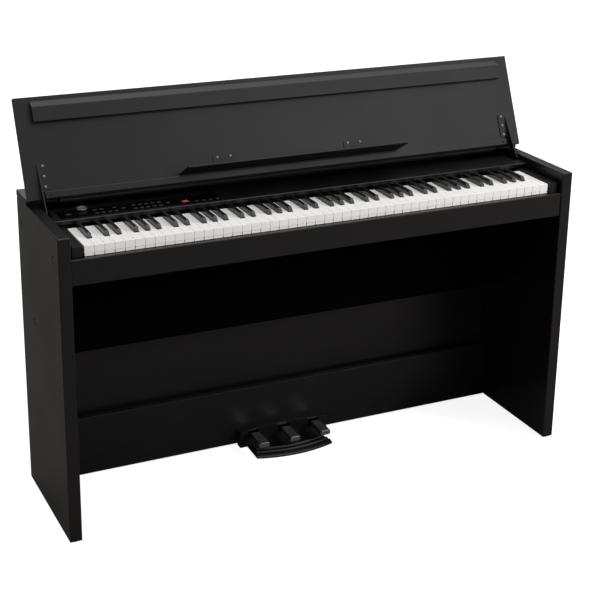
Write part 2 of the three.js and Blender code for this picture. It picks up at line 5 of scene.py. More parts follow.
import bmesh
import bpy
from mathutils import Matrix, Vector


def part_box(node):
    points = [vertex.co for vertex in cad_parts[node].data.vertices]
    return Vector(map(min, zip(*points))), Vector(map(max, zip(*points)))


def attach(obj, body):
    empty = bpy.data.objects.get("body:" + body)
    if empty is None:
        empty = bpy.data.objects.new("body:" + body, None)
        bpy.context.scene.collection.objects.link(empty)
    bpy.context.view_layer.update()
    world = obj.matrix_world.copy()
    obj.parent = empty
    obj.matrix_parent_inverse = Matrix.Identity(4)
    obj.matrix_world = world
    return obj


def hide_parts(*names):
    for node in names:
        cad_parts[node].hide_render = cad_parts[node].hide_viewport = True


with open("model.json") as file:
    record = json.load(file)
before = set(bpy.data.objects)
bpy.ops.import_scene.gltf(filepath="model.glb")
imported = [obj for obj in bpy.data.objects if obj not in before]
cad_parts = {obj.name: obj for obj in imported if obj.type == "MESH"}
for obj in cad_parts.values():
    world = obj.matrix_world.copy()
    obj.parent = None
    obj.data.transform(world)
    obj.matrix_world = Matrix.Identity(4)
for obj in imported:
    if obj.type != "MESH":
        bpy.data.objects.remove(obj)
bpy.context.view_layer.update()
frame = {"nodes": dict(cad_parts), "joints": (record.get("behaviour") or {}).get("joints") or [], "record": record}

# Pieces are built in millimetres, in the frame's own axes, and scaled to metres when they are made.
MM = 0.001
RECORD = frame["record"]
BODY_OF = {node: body for body, nodes in RECORD["behaviour"]["bodies"].items() for node in nodes}
SLOT_OF = {row["node"]: row["material_slot"] for row in RECORD["subparts"]}
JOINT = {joint["name"]: joint for joint in frame["joints"]}


def corners(node):
    """Lowest and highest corner of a frame node, in millimetres."""
    low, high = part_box(node)
    return low / MM, high / MM


# ---- camera, lights and floor ---------------------------------------------------------------
CAMERA_AT = (-1.4245, -2.9508, 1.7387)
CAMERA_HEADING = 25.59  # degrees to the right of +Y
CAMERA_PITCH = 18.27  # degrees below the horizon
CAMERA_ROLL = 0.86
CAMERA_LENS = 83.0
CAMERA_SHIFT = -0.1333


def make_camera():
    heading, pitch, roll = (math.radians(a) for a in (CAMERA_HEADING, CAMERA_PITCH, CAMERA_ROLL))
    ahead = math.cos(pitch)
    forward = Vector((math.sin(heading) * ahead, math.cos(heading) * ahead, -math.sin(pitch)))
    level = forward.cross(Vector((0, 0, 1))).normalized()
    above = level.cross(forward)
    right = level * math.cos(roll) + above * math.sin(roll)
    up = right.cross(forward)
    data = bpy.data.cameras.new("camera")
    data.sensor_width = 36
    data.lens = CAMERA_LENS
    data.shift_y = CAMERA_SHIFT
    data.clip_end = 200
    camera = bpy.data.objects.new("camera", data)
    bpy.context.scene.collection.objects.link(camera)
    turn = Matrix((right, up, -forward)).transposed()
    camera.matrix_world = Matrix.Translation(CAMERA_AT) @ turn.to_4x4()
    bpy.context.scene.camera = camera


def softbox(name, location, target, size, watts, mirrored=True):
    data = bpy.data.lights.new(name, "AREA")
    data.shape = "SQUARE"
    data.size = size
    data.energy = watts
    light = bpy.data.objects.new(name, data)
    light.location = location
    light.rotation_euler = (Vector(target) - Vector(location)).to_track_quat("-Z", "Y").to_euler()
    light.visible_camera = False
    light.visible_glossy = mirrored
    bpy.context.scene.collection.objects.link(light)


SKY = ((0.0, 0.2), (0.42, 0.26), (0.70, 1.0), (1.0, 1.7))  # height on the sky's dome, brightness


def make_sky():
    """A pale surround that brightens overhead. The camera itself sees plain white behind the object."""
    world = bpy.data.worlds.new("studio")
    world.use_nodes = True
    nodes, links = world.node_tree.nodes, world.node_tree.links
    direction = nodes.new("ShaderNodeTexCoord")
    split = nodes.new("ShaderNodeSeparateXYZ")
    links.new(direction.outputs["Generated"], split.inputs["Vector"])
    ramp = nodes.new("ShaderNodeValToRGB")
    while len(ramp.color_ramp.elements) < len(SKY):
        ramp.color_ramp.elements.new(0.5)
    for element, (height, level) in zip(ramp.color_ramp.elements, SKY):
        element.position = height
        element.color = (level, level, level, 1)
    links.new(split.outputs["Z"], ramp.inputs["Fac"])
    sky = nodes["Background"]
    links.new(ramp.outputs["Color"], sky.inputs["Color"])
    backdrop = nodes.new("ShaderNodeBackground")
    path = nodes.new("ShaderNodeLightPath")
    choose = nodes.new("ShaderNodeMixShader")
    links.new(path.outputs["Is Camera Ray"], choose.inputs["Fac"])
    links.new(sky.outputs["Background"], choose.inputs[1])
    links.new(backdrop.outputs["Background"], choose.inputs[2])
    backdrop.inputs["Color"].default_value = (1, 1, 1, 1)
    links.new(choose.outputs["Shader"], nodes["World Output"].inputs["Surface"])
    bpy.context.scene.world = world


def make_studio():
    bpy.context.scene.view_settings.view_transform = "Standard"
    make_sky()
    softbox("front_right", (3.4, -4.6, 3.0), (0.3, 0.1, 0.9), 3.0, 33)
    softbox("key_light", (3.5, -2.9, 2.6), (0.2, 0.0, 0.7), 1.6, 190, mirrored=False)
    softbox("rear_fill", (1.6, 4.2, 2.2), (0.0, 0.2, 0.5), 2.0, 45)


def ground(name, drop, finish, seen):
    """One of the two floor planes: the camera sees one, and light bounces off the other."""
    reach = 40
    spots = [(-reach, -reach, 0), (reach, -reach, 0), (reach, reach, 0), (-reach, reach, 0)]
    mesh = bpy.data.meshes.new(name)
    mesh.from_pydata(spots, [], [(0, 1, 2, 3)])
    floor = bpy.data.objects.new(name, mesh)
    floor.location.z = -drop
    bpy.context.scene.collection.objects.link(floor)
    mesh.materials.append(finish)
    floor.visible_camera = seen
    for ray in ("diffuse", "glossy", "transmission", "shadow"):
        setattr(floor, f"visible_{ray}", not seen)


def make_floor():
    paper = new_material("studio_paper", (0.4, 0.4, 0.4), 0.9, specular=0.0)
    shader_of(paper).inputs["Emission Color"].default_value = (1, 1, 1, 1)
    shader_of(paper).inputs["Emission Strength"].default_value = 0.85
    vary_roughness(paper, 2.0, 0.85, 0.95)
    ground("floor", 0.0, paper, True)
    carpet = new_material("studio_ground", (0.16, 0.16, 0.16), 0.9, specular=0.0)
    vary_color(carpet, 0.12, (0.155, 0.13, 0.12), (0.16, 0.16, 0.16), (1, 0.1, 1))
    ground("lower_floor", 0.002, carpet, False)


# ---- materials ------------------------------------------------------------------------------
def new_material(name, color, roughness, metallic=0.0, specular=0.5, coat=0.0):
    material = bpy.data.materials.new(name)
    material.use_nodes = True
    shader = material.node_tree.nodes["Principled BSDF"]
    shader.inputs["Base Color"].default_value = (*color, 1)
    shader.inputs["Roughness"].default_value = roughness
    shader.inputs["Metallic"].default_value = metallic
    shader.inputs["Specular IOR Level"].default_value = specular
    shader.inputs["Coat Weight"].default_value = coat
    shader.inputs["Coat Roughness"].default_value = 0.08
    return material


def shader_of(material):
    return material.node_tree.nodes["Principled BSDF"]


def object_coordinates(material, stretch=(1, 1, 1)):
    nodes, links = material.node_tree.nodes, material.node_tree.links
    source = nodes.new("ShaderNodeTexCoord")
    mapping = nodes.new("ShaderNodeMapping")
    mapping.inputs["Scale"].default_value = stretch
    links.new(source.outputs["Object"], mapping.inputs["Vector"])
    return mapping.outputs["Vector"]


def noise(material, scale, detail=3.0, stretch=(1, 1, 1)):
    """Fractal noise in the object's own metres: scale is in features per metre."""
    node = material.node_tree.nodes.new("ShaderNodeTexNoise")
    node.inputs["Scale"].default_value = scale
    node.inputs["Detail"].default_value = detail
    material.node_tree.links.new(object_coordinates(material, stretch), node.inputs["Vector"])
    return node.outputs["Fac"]


def remap(material, value, low, high):
    node = material.node_tree.nodes.new("ShaderNodeMapRange")
    node.inputs["From Min"].default_value = 0.3
    node.inputs["From Max"].default_value = 0.7
    node.inputs["To Min"].default_value = low
    node.inputs["To Max"].default_value = high
    material.node_tree.links.new(value, node.inputs["Value"])
    return node.outputs["Result"]


def vary_roughness(material, scale, low, high, stretch=(1, 1, 1)):
    value = remap(material, noise(material, scale, 4.0, stretch), low, high)
    material.node_tree.links.new(value, shader_of(material).inputs["Roughness"])


def vary_color(material, scale, dark, light, stretch=(1, 1, 1)):
    nodes, links = material.node_tree.nodes, material.node_tree.links
    ramp = nodes.new("ShaderNodeValToRGB")
    ramp.color_ramp.elements[0].position = 0.3
    ramp.color_ramp.elements[0].color = (*dark, 1)
    ramp.color_ramp.elements[1].position = 0.7
    ramp.color_ramp.elements[1].color = (*light, 1)
    links.new(noise(material, scale, 4.0, stretch), ramp.inputs["Fac"])
    links.new(ramp.outputs["Color"], shader_of(material).inputs["Base Color"])


def bump(material, height, depth_mm, strength=1.0):
    nodes, links = material.node_tree.nodes, material.node_tree.links
    node = nodes.new("ShaderNodeBump")
    node.inputs["Strength"].default_value = strength
    node.inputs["Distance"].default_value = depth_mm * MM
    links.new(height, node.inputs["Height"])
    links.new(node.outputs["Normal"], shader_of(material).inputs["Normal"])


def laminate():
    """Satin black foil on board: a faint pressed pore grain along the boards, and hand smears."""
    material = new_material("satin_black_laminate", (0.003, 0.003, 0.003), 0.34)
    vary_color(material, 9, (0.0026, 0.0025, 0.0025), (0.0036, 0.0035, 0.0034))
    vary_roughness(material, 5, 0.31, 0.38)
    bump(material, noise(material, 900, 2.0, (0.25, 1, 1)), 0.03, 0.3)
    return material


def raw_board():
    material = new_material("raw_black_board", (0.006, 0.0058, 0.0055), 0.7, specular=0.3)
    vary_color(material, 300, (0.0045, 0.0043, 0.004), (0.009, 0.0087, 0.0083))
    bump(material, noise(material, 600, 4.0), 0.12, 0.5)
    return material


def woven_cloth_painted_shade():
    """Open black speaker cloth: two crossed sets of threads a millimetre apart. Its near-lightless colour and
    faint gloss are partly the black cloth and partly painted shade for the deep shadow under the key bed.
    """
    material = new_material("speaker_cloth", (0.0011, 0.0011, 0.0012), 0.95, specular=0.04)
    nodes, links = material.node_tree.nodes, material.node_tree.links
    waves = []
    for direction in ("X", "Z"):
        wave = nodes.new("ShaderNodeTexWave")
        wave.bands_direction = direction
        wave.inputs["Scale"].default_value = 160
        wave.inputs["Distortion"].default_value = 0.4
        wave.inputs["Detail Scale"].default_value = 40
        links.new(object_coordinates(material), wave.inputs["Vector"])
        waves.append(wave.outputs["Fac"])
    weave = nodes.new("ShaderNodeMath")
    weave.operation = "MULTIPLY"
    links.new(waves[0], weave.inputs[0])
    links.new(waves[1], weave.inputs[1])
    bump(material, weave.outputs["Value"], 0.3, 0.8)
    vary_roughness(material, 40, 0.9, 1.0)
    return material


def moulded_plastic(name, color, roughness, grain=0.03, specular=0.4):
    material = new_material(name, color, roughness, specular=specular)
    light = tuple(c * 1.25 for c in color)
    vary_color(material, 60, color, light)
    vary_roughness(material, 120, roughness - 0.05, roughness + 0.05)
    bump(material, noise(material, 1400, 2.0), grain, 0.5)
    return material


def white_key_plastic():
    material = new_material("white_key", (0.8, 0.79, 0.765), 0.28, specular=0.5, coat=0.15)
    vary_color(material, 14, (0.79, 0.78, 0.752), (0.82, 0.812, 0.79))
    vary_roughness(material, 35, 0.24, 0.34, (1, 0.2, 1))
    bump(material, noise(material, 900, 2.0, (1, 0.15, 1)), 0.006, 0.4)
    return material


def black_key_plastic():
    material = new_material("black_key", (0.004, 0.0038, 0.0038), 0.22, specular=0.9)
    vary_color(material, 50, (0.0034, 0.0032, 0.0032), (0.0052, 0.005, 0.005), (1, 0.2, 1))
    vary_roughness(material, 90, 0.18, 0.27, (1, 0.2, 1))
    bump(material, noise(material, 1500, 2.0, (1, 0.1, 1)), 0.01, 0.4)
    return material


def chromed():
    material = new_material("chrome", (0.42, 0.42, 0.43), 0.08, metallic=1.0)
    vary_roughness(material, 80, 0.05, 0.12, (1, 0.3, 1))
    bump(material, noise(material, 700, 2.0), 0.004, 0.3)
    return material


def powder_coat(name, color, roughness):
    material = new_material(name, color, roughness, specular=0.45)
    vary_color(material, 40, color, tuple(c * 1.3 for c in color))
    vary_roughness(material, 200, roughness - 0.06, roughness + 0.08)
    bump(material, noise(material, 1100, 3.0), 0.04, 0.5)
    return material


def bare_steel():
    material = new_material("steel", (0.45, 0.45, 0.46), 0.35, metallic=1.0)
    vary_roughness(material, 150, 0.25, 0.45, (0.1, 1, 1))
    bump(material, noise(material, 900, 2.0, (0.1, 1, 1)), 0.01, 0.4)
    return material


def silver_paint():
    material = new_material("silver_paint", (0.45, 0.45, 0.455), 0.3, metallic=0.85)
    vary_roughness(material, 900, 0.26, 0.4)
    bump(material, noise(material, 2500, 2.0), 0.008, 0.4)
    return material


def bright_screw():
    material = new_material("screw_nickel", (0.30, 0.295, 0.29), 0.3, metallic=1.0)
    vary_roughness(material, 400, 0.22, 0.4)
    bump(material, noise(material, 1500, 2.0), 0.01, 0.4)
    return material


def circuit_board():
    material = new_material("circuit_board", (0.01, 0.09, 0.035), 0.35)
    vary_color(material, 90, (0.006, 0.07, 0.025), (0.02, 0.13, 0.05))
    return material


def dark_window():
    material = new_material("display_window", (0.004, 0.0006, 0.0008), 0.12, specular=0.3)
    vary_roughness(material, 60, 0.08, 0.16)
    return material


def glowing_red():
    material = new_material("lit_segment", (0.6, 0.01, 0.02), 0.4)
    shader_of(material).inputs["Emission Color"].default_value = (1.0, 0.11, 0.17, 1)
    shader_of(material).inputs["Emission Strength"].default_value = 1.1
    vary_roughness(material, 300, 0.35, 0.5)
    return material


def overlay_film():
    """Glossy printed film on the control panel."""
    material = new_material("overlay_film", (0.0012, 0.0012, 0.0013), 0.16, specular=0.22)
    vary_roughness(material, 30, 0.13, 0.2)
    bump(material, noise(material, 1500, 2.0), 0.004, 0.3)
    return material


LOOK = {
    "satin_black_board": laminate(),
    "raw_black_board": raw_board(),
    "speaker_cloth": woven_cloth_painted_shade(),
    "black_plastic": moulded_plastic("black_plastic", (0.0035, 0.0035, 0.0036), 0.3, 0.015, 0.5),
    "white_key": white_key_plastic(),
    "black_key": black_key_plastic(),
    "silver_plastic": silver_paint(),
    "chrome": chromed(),
    "black_steel": powder_coat("black_steel", (0.006, 0.006, 0.0062), 0.36),
    "steel": bare_steel(),
    "rubber": moulded_plastic("rubber", (0.006, 0.006, 0.006), 0.8, 0.08, 0.2),
    "circuit_board": circuit_board(),
    "display_window": dark_window(),
}
FILM = overlay_film()
GLOW = glowing_red()
CAP_TOP = moulded_plastic("button_plastic", (0.012, 0.012, 0.0125), 0.28, 0.006, 0.5)
DISH = moulded_plastic("knob_top_plastic", (0.02, 0.02, 0.021), 0.3, 0.01, 0.5)
SCREW = powder_coat("screw_black", (0.008, 0.008, 0.0085), 0.3)
NICKEL = bright_screw()
BLACKENED = powder_coat("blackened_hinge", (0.003, 0.003, 0.003), 0.6)


# ---- mesh helpers ---------------------------------------------------------------------------
SHARP_ANGLE = math.radians(32)  # edges that turn by more than this are crisp, and are the ones softened
MERGE_MM = 0.001
SQUARE_ON = 0.9999  # part of a normal along one axis above which a face counts as flat to it


def on_axis(axis, a, b, along):
    """A point from outline coordinates (a, b) and its place along the extrusion's axis."""
    return {"x": (along, a, b), "y": (a, along, b), "z": (a, b, along)}[axis]


def add_prism(bm, outline, axis, low, high):
    ends = []
    for along in (low, high):
        ends.append([bm.verts.new(on_axis(axis, a, b, along)) for a, b in outline])
    bm.faces.new(ends[0])
    bm.faces.new(ends[1])
    count = len(outline)
    for i in range(count):
        j = (i + 1) % count
        bm.faces.new((ends[0][i], ends[0][j], ends[1][j], ends[1][i]))
    return [*ends[0], *ends[1]]


def add_box(bm, x0, x1, y0, y1, z0, z1):
    return add_prism(bm, [(x0, y0), (x1, y0), (x1, y1), (x0, y1)], "z", z0, z1)


def add_rings(bm, rings, cap_start=True, cap_end=True):
    """Joins closed rings of points into a skin."""
    loops = [[bm.verts.new(p) for p in ring] for ring in rings]
    for a, b in zip(loops, loops[1:]):
        count = len(a)
        for i in range(count):
            j = (i + 1) % count
            bm.faces.new((a[i], a[j], b[j], b[i]))
    if cap_start:
        bm.faces.new(loops[0])
    if cap_end:
        bm.faces.new(loops[-1])
    return [vert for loop in loops for vert in loop]


def add_turned(bm, profile, centre, segments=32):
    """A round piece about Z from (radius, height) pairs, none of them on the axis."""
    rings = []
    for radius, height in profile:
        turn = [2 * math.pi * i / segments for i in range(segments)]
        x, y, z = centre[0], centre[1], centre[2] + height
        rings.append([(x + radius * math.cos(t), y + radius * math.sin(t), z) for t in turn])
    return add_rings(bm, rings)


def bevel_edges(piece, width_mm, segments):
    modifier = piece.modifiers.new("soft_edges", "BEVEL")
    modifier.width = width_mm * MM
    modifier.segments = segments
    modifier.limit_method = "ANGLE"
    modifier.angle_limit = SHARP_ANGLE
    even = piece.modifiers.new("flat_faces", "WEIGHTED_NORMAL")
    even.keep_sharp = True


def settle(piece, material, body, edge_mm, segments):
    piece.data.materials.clear()
    piece.data.materials.append(material)
    for face in piece.data.polygons:
        face.use_smooth = True
    piece.data.set_sharp_from_angle(angle=SHARP_ANGLE)
    if edge_mm:
        bevel_edges(piece, edge_mm, segments)
    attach(piece, body)
    return piece


def make(name, bm, slot, body, edge_mm=0.0, segments=2, material=None, place=None):
    """Turns a mesh in millimetres into a piece that rides on a body."""
    bmesh.ops.recalc_face_normals(bm, faces=bm.faces)
    if place is not None:
        bmesh.ops.transform(bm, matrix=place, verts=bm.verts)
    bmesh.ops.scale(bm, vec=(MM, MM, MM), verts=bm.verts)
    mesh = bpy.data.meshes.new(name)
    bm.to_mesh(mesh)
    bm.free()
    piece = bpy.data.objects.new(name, mesh)
    bpy.context.scene.collection.objects.link(piece)
    return settle(piece, material or LOOK[slot], body, edge_mm, segments)


def refine(node, edge_mm, segments=2, cutters=()):
    """A copy of a frame node with merged faces and softened edges, which stands for the node.
    Cutters are taken out of it after its edges are softened, and their own edges stay crisp."""
    bm = bmesh.new()
    bm.from_mesh(frame["nodes"][node].data)
    bmesh.ops.remove_doubles(bm, verts=bm.verts, dist=MERGE_MM * MM)
    bmesh.ops.dissolve_limit(bm, angle_limit=math.radians(1), verts=bm.verts, edges=bm.edges)
    mesh = bpy.data.meshes.new(node + "_shell")
    bm.to_mesh(mesh)
    bm.free()
    piece = bpy.data.objects.new(node + "_shell", mesh)
    bpy.context.scene.collection.objects.link(piece)
    if cutters:
        bevel_edges(piece, edge_mm, segments)
        for cutter in cutters:
            cut(piece, cutter)
        piece.modifiers.clear()
    settle(piece, LOOK[SLOT_OF[node]], BODY_OF[node], 0 if cutters else edge_mm, segments)
    if cutters:
        for face in piece.data.polygons:
            face.use_smooth = max(abs(part) for part in face.normal) < SQUARE_ON
    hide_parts(node)
    return piece


def cut(piece, bm):
    """Cuts a mesh in millimetres out of a piece, and bakes the piece's modifiers into it."""
    bmesh.ops.recalc_face_normals(bm, faces=bm.faces)
    bmesh.ops.scale(bm, vec=(MM, MM, MM), verts=bm.verts)
    mesh = bpy.data.meshes.new("cutter")
    bm.to_mesh(mesh)
    bm.free()
    tool = bpy.data.objects.new("cutter", mesh)
    bpy.context.scene.collection.objects.link(tool)
    modifier = piece.modifiers.new("cut", "BOOLEAN")
    modifier.operation = "DIFFERENCE"
    modifier.solver = "EXACT"
    modifier.object = tool
    graph = bpy.context.evaluated_depsgraph_get()
    result = bpy.data.meshes.new_from_object(piece.evaluated_get(graph))
    piece.modifiers.clear()
    piece.data = result
    bpy.data.objects.remove(tool)


# ---- lid frame ------------------------------------------------------------------------------
LEAN = math.radians(23.6)
HINGE_DROP = 5
HINGE_INSET = 6.72


def lid_place():
    """Turns (x, depth into the lid, distance up the lid) into the frame's axes."""
    hinge = Vector(JOINT["lid_hinge"]["pos_m"]) / MM
    turn = Matrix.Rotation(-LEAN, 4, "X")
    return Matrix.Translation(hinge) @ turn @ Matrix.Translation((0, -HINGE_INSET, HINGE_DROP))


def place_on(point, normal):
    """Stands a piece made about Z on a point, looking along normal."""
    turn = Vector(normal).to_track_quat("Z", "Y").to_matrix().to_4x4()
    return Matrix.Translation(point) @ turn


# ---- screws ---------------------------------------------------------------------------------
def screw(name, place, body, radius=3.4, height=1.5, material=None):
    """A pan-head screw with a cross recess."""
    bm = bmesh.new()
    segments = 24
    rings = []
    for share, rise in ((1.0, 0.0), (1.0, 0.35), (0.9, 0.75), (0.72, 1.0)):
        turn = [2 * math.pi * i / segments for i in range(segments)]
        reach = radius * share
        rings.append([(reach * math.cos(t), reach * math.sin(t), height * rise) for t in turn])
    add_rings(bm, rings, cap_end=False)
    rim = [edge for edge in bm.edges if edge.is_boundary]
    half, reach = radius * 0.11, radius * 0.5
    cross = [(half, reach), (-half, reach), (-half, half), (-reach, half), (-reach, -half), (-half, -half),
             (-half, -reach), (half, -reach), (half, -half), (reach, -half), (reach, half), (half, half)]
    top = [bm.verts.new((x, y, height)) for x, y in cross]
    floor = [bm.verts.new((x * 0.7, y * 0.7, height * 0.35)) for x, y in cross]
    edges = [bm.edges.new((top[i], top[(i + 1) % 12])) for i in range(12)]
    bmesh.ops.triangle_fill(bm, edges=rim + edges, use_beauty=True)
    for i in range(12):
        j = (i + 1) % 12
        bm.faces.new((top[i], top[j], floor[j], floor[i]))
    bm.faces.new(floor)
    return make(name, bm, "black_steel", body, material=material or SCREW, place=place)


# ---- cabinet --------------------------------------------------------------------------------
PLUG_RADIUS = 8.0
PLUG_GAP = 1.7  # round a plug, to the edge of its recess
RECESS_DEPTH = 2.4
PLUG_LIFT = 0.05  # of a plug off the floor of its recess
PLUG_SPOTS = ((41, 692), (306, 694), (230, 474))  # distance from the front edge, height


def side_panel(side, sign):
    node = f"{side}_side_panel"
    low, high = corners(node)
    outer = high.x if sign > 0 else low.x
    recesses = []
    for depth, height in PLUG_SPOTS:
        bm = bmesh.new()
        place = place_on((outer - sign * RECESS_DEPTH, low.y + depth, height), (sign, 0, 0))
        bore = PLUG_RADIUS + PLUG_GAP
        add_turned(bm, [(bore, 0), (bore, RECESS_DEPTH + 1.6)], (0, 0, 0))
        bmesh.ops.transform(bm, matrix=place, verts=bm.verts)
        recesses.append(bm)
    refine(node, 2.8, 4, recesses)
    for i, (depth, height) in enumerate(PLUG_SPOTS):
        bm = bmesh.new()
        rim = [(PLUG_RADIUS, 0.0), (PLUG_RADIUS, 1.3), (PLUG_RADIUS - 0.6, 1.9), (2.0, 2.0)]
        add_turned(bm, rim, (0, 0, 0))
        place = place_on((outer - sign * (RECESS_DEPTH - PLUG_LIFT), low.y + depth, height), (sign, 0, 0))
        make(f"{side}_plug_{i + 1}", bm, "black_plastic", BODY_OF[node], place=place)


def cabinet():
    for side, sign in (("left", -1), ("right", 1)):
        side_panel(side, sign)
        refine(f"{side}_cheek", 0.8)
        for end in ("front", "rear"):
            refine(f"{end}_{side}_foot", 0.6)
    for board in ("back_panel", "pedal_board", "key_bed", "rear_top_board"):
        refine(board, 0.8, 2)
    refine("key_slip", 0.8, 3)
    refine("speaker_box", 0.5)
    low, high = corners("pedal_board")
    screw("pedal_board_screw", place_on((high.x - 15, low.y, 107), (0, -1, 0)), "cabinet")


def back_screws():
    low, high = corners("back_panel")
    for row, z in enumerate((low.z + 25, (low.z + high.z) / 2, high.z - 20)):
        for column in range(6):
            x = low.x + 30 + column * (high.x - low.x - 60) / 5
            screw(f"back_screw_{row + 1}_{column + 1}", place_on((x, high.y, z), (0, 1, 0)), "cabinet")


def speaker_cloth():
    """Cloth stretched over the front of the loudspeaker frame, and turned in under its lower edge. Its near-black
    sheet is partly painted shade for the shadow under the key bed.
    """
    low, high = corners("speaker_cloth")
    thickness, turn_in, columns, rows = 0.8, 6.0, 140, 30
    bm = bmesh.new()
    width, height = high.x - low.x, high.z - low.z
    path = [(low.y - 0.1, high.z - height * i / rows) for i in range(rows + 1)]
    path += [(low.y + turn_in * i / 3, low.z - 0.1) for i in range(1, 4)]
    grid = []
    for i in range(columns + 1):
        x = low.x + width * i / columns
        ripple = 0.12 * math.sin(i * 0.9) + 0.08 * math.sin(i * 2.3)
        column = []
        for k, (y, z) in enumerate(path):
            wave = ripple * math.sin(math.pi * k / rows) if k < rows else 0
            column.append(bm.verts.new((x, y + wave, z)))
        grid.append(column)
    for a, b in zip(grid, grid[1:]):
        for k in range(len(path) - 1):
            bm.faces.new((a[k], a[k + 1], b[k + 1], b[k]))
    piece = make("speaker_cloth_skin", bm, "speaker_cloth", "cabinet")
    thicken = piece.modifiers.new("thickness", "SOLIDIFY")
    thicken.thickness = thickness * MM
    thicken.offset = 1


# ---- keyboard -------------------------------------------------------------------------------
KEY_PITCH = 23.6
KEY_GAP = 0.6
WHITE_COUNT = 52
SHARP_AFTER = {0: 3.6, 2: -2.3, 3: 2.3, 5: -3.6, 6: 0.0}
SHARP_HALF_WIDTH = 5.2
CAP_DEPTH = 130  # of both kinds of key, from the white keys' front
FIRST_SINGLE = 26
SINGLES = ("key_f", "key_g", "key_a", "key_b")


def sharp_centre(index):
    offset = SHARP_AFTER.get(index % 7)
    if offset is None or index + 1 >= WHITE_COUNT:
        return None
    return (index + 1 - WHITE_COUNT / 2) * KEY_PITCH + offset


def key_body(index, color):
    single = index - FIRST_SINGLE
    if 0 <= single < len(SINGLES):
        return SINGLES[single] + ("_sharp" if color == "black" else "")
    return ("bass" if single < 0 else "treble") + f"_{color}_keys"


def white_outline(left, right, tail_left, tail_right, front, notch, back):
    outline = [(left, front), (right, front)]
    if tail_right < right:
        outline += [(right, notch), (tail_right, notch)]
    outline += [(tail_right, back), (tail_left, back)]
    if tail_left > left:
        outline += [(tail_left, notch), (left, notch)]
    return outline


def white_key(index, low, high, cap_back):
    left = (index - WHITE_COUNT / 2) * KEY_PITCH + KEY_GAP / 2
    right = left + KEY_PITCH - KEY_GAP
    room = SHARP_HALF_WIDTH + 1
    before = sharp_centre(index - 1) if index else None
    after = sharp_centre(index)
    tail_left = left if before is None else before + room
    tail_right = right if after is None else after - room
    notch = corners("bass_black_keys")[0].y - 1.5
    skirt, step = 7.5, 0.9
    bm = bmesh.new()
    cap = white_outline(left, right, tail_left, tail_right, low.y, notch, cap_back)
    add_prism(bm, cap, "z", low.z + skirt, high.z)
    add_box(bm, left + 0.4, right - 0.4, low.y + step, low.y + 12, low.z, low.z + skirt - 0.4)
    add_box(bm, tail_left + 0.5, tail_right - 0.5, low.y + 20, high.y, low.z + 3, low.z + 11)
    return make(f"white_key_{index + 1:02d}", bm, "white_key", key_body(index, "white"), 0.45, 3)


def black_key(index, low, high, cap_back):
    centre = sharp_centre(index)
    body = key_body(index, "black")
    shoulder = high.z - 9.5
    foot = SHARP_HALF_WIDTH
    bm = bmesh.new()
    sections = [
        # height, half width, front, back
        (low.z, foot, low.y, cap_back),
        (shoulder, foot, low.y, cap_back),
        (high.z - 1.4, foot - 0.8, low.y + 5.5, cap_back),
        (high.z, foot - 1.3, low.y + 8.5, cap_back),
    ]
    add_rings(bm, [[(centre - w, y0, z), (centre + w, y0, z), (centre + w, y1, z), (centre - w, y1, z)]
                   for z, w, y0, y1 in sections])
    add_box(bm, centre - foot + 0.5, centre + foot - 0.5, cap_back + 0.2, high.y, low.z, low.z + 8)
    return make(f"black_key_{index + 1:02d}", bm, "black_key", body, 0.9, 4)


def keyboard():
    """All keys one by one. The first piece on each body also stands for that body's frame node."""
    stood_for = set()
    cap_back = corners("bass_white_keys")[0].y + CAP_DEPTH
    for color, build in (("white", white_key), ("black", black_key)):
        low, high = corners(f"bass_{color}_keys")
        for index in range(WHITE_COUNT):
            if color == "black" and sharp_centre(index) is None:
                continue
            piece = build(index, low, high, cap_back)
            body = key_body(index, color)
            if body not in stood_for:
                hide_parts(body)
                stood_for.add(body)


# ---- control panel --------------------------------------------------------------------------
def rounded(x, y, length, width, corner, steps=4):
    """Outline of a rectangle with round corners, centred on (x, y)."""
    points = []
    for turn, (sx, sy) in enumerate(((1, 1), (-1, 1), (-1, -1), (1, -1))):
        cx, cy = x + sx * (length / 2 - corner), y + sy * (width / 2 - corner)
        for i in range(steps + 1):
            angle = math.pi / 2 * (turn + i / steps)
            points.append((cx + corner * math.cos(angle), cy + corner * math.sin(angle)))
    return points


def row(first, pitch, count, y):
    return [(first + pitch * i, y) for i in range(count)]


REAR_ROW, MIDDLE_ROW, FRONT_ROW = 50, 37, 25  # distance behind the panel's front edge
BUTTONS = {
    "function_buttons": row(-530, 15.6, 4, FRONT_ROW) + [(-462, MIDDLE_ROW)] + row(-528, 15.6, 2, REAR_ROW)
    + [(-480, REAR_ROW)],
    "sound_buttons": row(-436, 15.6, 5, FRONT_ROW) + row(-433, 15.7, 5, REAR_ROW) + [(-351, MIDDLE_ROW)],
    "transport_buttons": row(-283, 17.6, 4, FRONT_ROW - 2),
}
CAP_LENGTH, CAP_WIDTH = 10, 6


def button_cap(name, x, y, top, body, length=CAP_LENGTH, width=CAP_WIDTH):
    bm = bmesh.new()
    sections = ((-6.0, 0.0), (-0.45, 0.0), (-0.12, 0.3), (0.0, 0.8))
    add_rings(bm, [[(a, b, top + dz) for a, b in rounded(x, y, length - 2 * inset, width - 2 * inset, 1.6)]
                   for dz, inset in sections])
    return make(name, bm, "black_plastic", body, material=CAP_TOP)


def buttons():
    front = corners("control_panel")[0].y
    for bank, spots in BUTTONS.items():
        low, high = corners(bank)
        bm = bmesh.new()
        add_box(bm, low.x, high.x, low.y, high.y, low.z, low.z + 1.8)
        carrier = make(f"{bank}_carrier", bm, "black_plastic", bank, 0.3)
        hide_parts(bank)
        for i, (x, depth) in enumerate(spots):
            button_cap(f"{bank}_{i + 1:02d}", x, front + depth, high.z, bank)
    low, high = corners("power_button")
    middle = (low + high) / 2
    cap = button_cap("power_button_cap", middle.x, middle.y, high.z, "power_button", 13, 8)
    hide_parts("power_button")


KNOB_HEIGHT = 7.5  # of the frame's knob
KNOB_RISE = 0.72  # of that height, what shows above the panel


